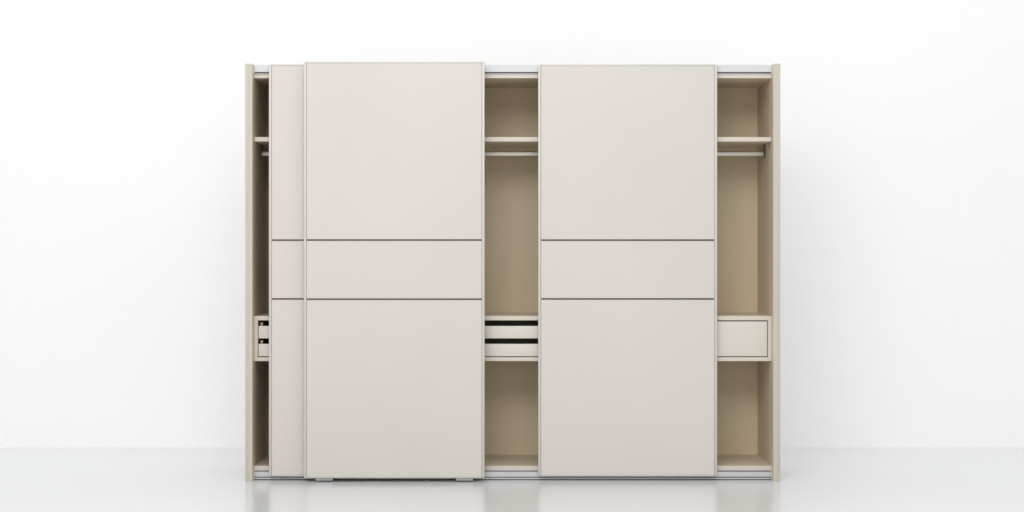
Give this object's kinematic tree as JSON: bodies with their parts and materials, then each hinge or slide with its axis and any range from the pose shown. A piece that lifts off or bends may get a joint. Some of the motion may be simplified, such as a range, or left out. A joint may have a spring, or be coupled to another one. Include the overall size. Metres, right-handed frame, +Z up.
{
  "type": "sliding door wardrobe",
  "caption": "Wide free-standing wardrobe with hung sliding doors on aluminium rails, shelves, clothes rails and inner drawers.",
  "frame": {"origin": "on the floor under the middle of the whole object", "axes": "+Z up, +X to the right seen from the front, the doors face -Y"},
  "size_m": [3, 0.642, 2.346],
  "materials": {
    "body_board": "fine-textured beige melamine on board",
    "cladding_board": "matt greige lacquer on board",
    "door_panel": "satin warm light grey lacquer on board",
    "drawer_front": "satin warm light grey lacquer on board",
    "door_frame": "satin anodised, champagne",
    "crossbar": "dark bronze anodised",
    "rail": "satin anodised",
    "clothes_rail": "satin nickel",
    "bracket": "dark bronze, satin",
    "running_gear": "zinc-plated steel",
    "roller": "off-white nylon",
    "drawer_box": "light grey laminate on board",
    "cap": "light grey moulded",
    "foot": "black moulded"
  },
  "bodies": {
    "carcass": {"side_panel_left": "body_board", "side_panel_right": "body_board", "side_cladding_left": "cladding_board", "side_cladding_right": "cladding_board", "partition_left": "body_board", "partition_right": "body_board", "top_panels": "body_board", "bottom_panels": "body_board", "shelves": "body_board", "back_panels": "body_board", "plinth_boards": "body_board", "drawer_unit_left": "body_board", "drawer_unit_middle": "body_board", "drawer_unit_right": "body_board", "shelf_pins": "running_gear", "clothes_rails": "clothes_rail", "clothes_rail_brackets": "bracket", "levelling_feet": "foot", "top_running_rail": "rail", "bottom_guide_rail": "rail", "rail_end_caps": "cap", "drawer_runners": "running_gear"},
    "left_door": {"left_door_frame": "door_frame", "left_door_crossbars": "crossbar", "left_door_panel_upper": "door_panel", "left_door_panel_band": "door_panel", "left_door_panel_lower": "door_panel", "left_door_hangers": "running_gear", "left_door_guides": "running_gear"},
    "left_roller_left": {"left_roller_left": "roller"},
    "left_roller_right": {"left_roller_right": "roller"},
    "middle_door": {"middle_door_frame": "door_frame", "middle_door_crossbars": "crossbar", "middle_door_panel_upper": "door_panel", "middle_door_panel_band": "door_panel", "middle_door_panel_lower": "door_panel", "middle_door_hangers": "running_gear", "middle_door_guides": "cap"},
    "middle_roller_left": {"middle_roller_left": "roller"},
    "middle_roller_right": {"middle_roller_right": "roller"},
    "right_door": {"right_door_frame": "door_frame", "right_door_crossbars": "crossbar", "right_door_panel_upper": "door_panel", "right_door_panel_band": "door_panel", "right_door_panel_lower": "door_panel", "right_door_hangers": "running_gear", "right_door_guides": "running_gear"},
    "right_roller_left": {"right_roller_left": "roller"},
    "right_roller_right": {"right_roller_right": "roller"},
    "left_upper_drawer": {"left_upper_drawer_front": "drawer_front", "left_upper_drawer_box": "drawer_box"},
    "left_lower_drawer": {"left_lower_drawer_front": "drawer_front", "left_lower_drawer_box": "drawer_box"},
    "middle_upper_drawer": {"middle_upper_drawer_front": "drawer_front", "middle_upper_drawer_box": "drawer_box"},
    "middle_lower_drawer": {"middle_lower_drawer_front": "drawer_front", "middle_lower_drawer_box": "drawer_box"},
    "right_tall_drawer": {"right_tall_drawer_front": "drawer_front", "right_tall_drawer_box": "drawer_box"}
  },
  "joints": [
    {"name": "left_door_slide", "type": "slide", "parent": "carcass", "child": "left_door", "axis": [1, 0, 0], "range_m": [-0.089, 0.505]},
    {"name": "left_roller_left_turn", "type": "hinge", "parent": "left_door", "child": "left_roller_left", "pos_m": [-1.279, -0.202, 2.3068], "axis": [0, 1, 0], "continuous": true},
    {"name": "left_roller_right_turn", "type": "hinge", "parent": "left_door", "child": "left_roller_right", "pos_m": [-0.455, -0.202, 2.3068], "axis": [0, 1, 0], "continuous": true},
    {"name": "middle_door_slide", "type": "slide", "parent": "carcass", "child": "middle_door", "axis": [1, 0, 0], "range_m": [-0.294, 1.618]},
    {"name": "middle_roller_left_turn", "type": "hinge", "parent": "middle_door", "child": "middle_roller_left", "pos_m": [-1.076, -0.152, 2.3068], "axis": [0, 1, 0], "continuous": true},
    {"name": "middle_roller_right_turn", "type": "hinge", "parent": "middle_door", "child": "middle_roller_right", "pos_m": [-0.248, -0.152, 2.3068], "axis": [0, 1, 0], "continuous": true},
    {"name": "right_door_slide", "type": "slide", "parent": "carcass", "child": "right_door", "axis": [1, 0, 0], "range_m": [-0.505, 0.311]},
    {"name": "right_roller_left_turn", "type": "hinge", "parent": "right_door", "child": "right_roller_left", "pos_m": [0.233, -0.202, 2.3068], "axis": [0, 1, 0], "continuous": true},
    {"name": "right_roller_right_turn", "type": "hinge", "parent": "right_door", "child": "right_roller_right", "pos_m": [1.057, -0.202, 2.3068], "axis": [0, 1, 0], "continuous": true},
    {"name": "left_upper_drawer_slide", "type": "slide", "parent": "carcass", "child": "left_upper_drawer", "axis": [0, -1, 0], "range_m": [0, 0.017]},
    {"name": "left_lower_drawer_slide", "type": "slide", "parent": "carcass", "child": "left_lower_drawer", "axis": [0, -1, 0], "range_m": [0, 0.017]},
    {"name": "middle_upper_drawer_slide", "type": "slide", "parent": "carcass", "child": "middle_upper_drawer", "axis": [0, -1, 0], "range_m": [0, 0.017]},
    {"name": "middle_lower_drawer_slide", "type": "slide", "parent": "carcass", "child": "middle_lower_drawer", "axis": [0, -1, 0], "range_m": [0, 0.017]},
    {"name": "right_tall_drawer_slide", "type": "slide", "parent": "carcass", "child": "right_tall_drawer", "axis": [0, -1, 0], "range_m": [0, 0.017]}
  ],
  "couplings": [
    {"joint": "left_roller_left_turn", "follows": "left_door_slide", "rad_per_m": 80},
    {"joint": "left_roller_right_turn", "follows": "left_door_slide", "rad_per_m": 80},
    {"joint": "middle_roller_left_turn", "follows": "middle_door_slide", "rad_per_m": 80},
    {"joint": "middle_roller_right_turn", "follows": "middle_door_slide", "rad_per_m": 80},
    {"joint": "right_roller_left_turn", "follows": "right_door_slide", "rad_per_m": 80},
    {"joint": "right_roller_right_turn", "follows": "right_door_slide", "rad_per_m": 80}
  ]
}
